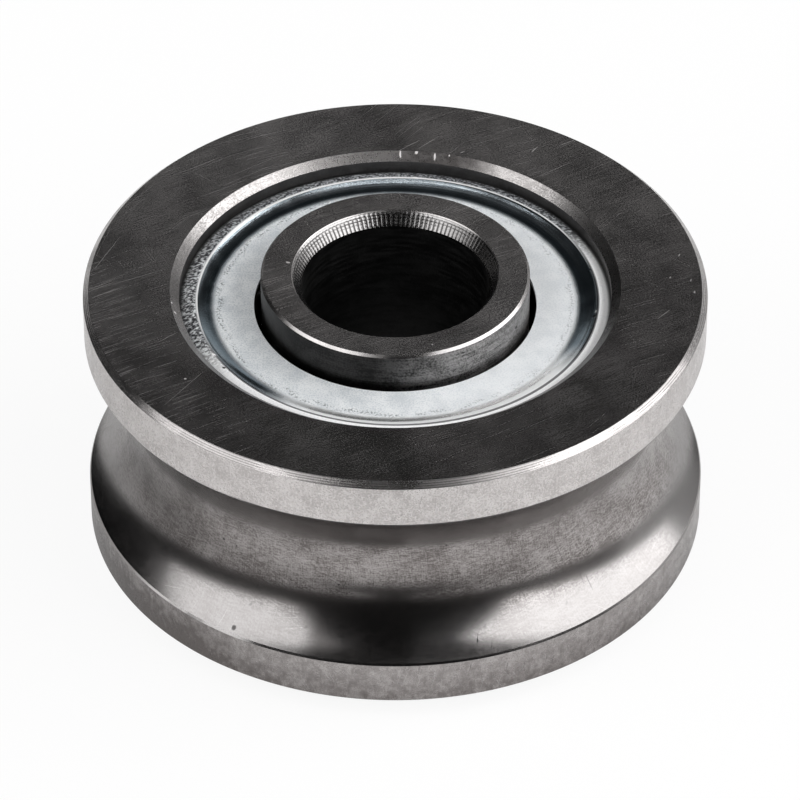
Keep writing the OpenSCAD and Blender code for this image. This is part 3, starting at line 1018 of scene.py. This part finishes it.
def direction(azimuth, elevation):
    """Unit vector, with azimuth from +X towards +Y, both in degrees."""
    a, e = math.radians(azimuth), math.radians(elevation)
    return Vector((math.cos(a) * math.cos(e), math.sin(a) * math.cos(e), math.sin(e)))


def aim(thing, place, target):
    """Puts a lamp or camera at a place and turns it to a target."""
    thing.location = place
    thing.rotation_euler = (Vector(target) - Vector(place)).to_track_quat("-Z", "Y").to_euler()


def soft_box(name, azimuth, elevation, distance, width, height, radiance):
    """A rectangular lamp of even brightness, facing the wheel."""
    lamp = bpy.data.lights.new(name, "AREA")
    lamp.shape = "RECTANGLE"
    lamp.size, lamp.size_y = width, height
    lamp.energy = radiance * math.pi * width * height
    thing = bpy.data.objects.new(name, lamp)
    bpy.context.scene.collection.objects.link(thing)
    aim(thing, distance * direction(azimuth, elevation), (0, 0, 0))


soft_box("left_soft_box", 207, 36, 0.9, 0.86, 0.64, 2.35)
soft_box("right_soft_box", -12, 34, 0.9, 1.30, 0.66, 3.25)
soft_box("top_strip", -90, 79, 0.9, 1.10, 0.11, 1.8)

world = bpy.data.worlds.new("studio")
bpy.context.scene.world = world
world.use_nodes = True
sky = world.node_tree.nodes["Background"]
view = add(world, "TexCoord").outputs["Generated"]
x, y, z = add(world, "SeparateXYZ", {0: view}).outputs
beside = times(world, work(world, "POWER", work(world, "SUBTRACT", x, 0.03), 2.0), 4.0)
above = times(world, work(world, "POWER", z, 2.0), 3.4)
back_glow = ramp(world, work(world, "ADD", beside, above), 1.05, 0.75)
back_glow = times(world, back_glow, ramp(world, y, 0.10, 0.30))
right_back = times(world, ramp(world, x, 0.55, 0.70), ramp(world, y, -0.05, 0.10))
right_back = times(world, right_back, ramp(world, z, 0.55, 0.40, 0.0, 0.50))
over_front = ramp(world, z, 0.85, 0.97, 0.0, 0.18)
over_front = times(world, over_front, ramp(world, y, 0.25, -0.05))
fill = work(world, "MULTIPLY_ADD", add(world, "LightPath").outputs["Is Diffuse Ray"], 0.22, 0.01)
room = blend_of(world, (back_glow, 1.0), (right_back, 1.0), (over_front, 1.0), (fill, 1.0))
world.node_tree.links.new(room, sky.inputs["Color"])


# ---- Camera ----
# A long lens that looks down on the wheel from the front.

VIEW_ELEVATION = 38.98
VIEW_DISTANCE = 0.3904
camera_data = bpy.data.cameras.new("camera")
camera_data.sensor_width = 36.0
camera_data.lens = 271.2
camera_data.clip_start = 0.01
camera_data.clip_end = 50.0
camera = bpy.data.objects.new("camera", camera_data)
bpy.context.scene.collection.objects.link(camera)
look_at = Vector((0.30, -0.21, -0.26)) * MM
aim(camera, look_at + VIEW_DISTANCE * direction(-90, VIEW_ELEVATION), look_at)
bpy.context.scene.camera = camera
bpy.context.scene.view_settings.view_transform = "Standard"
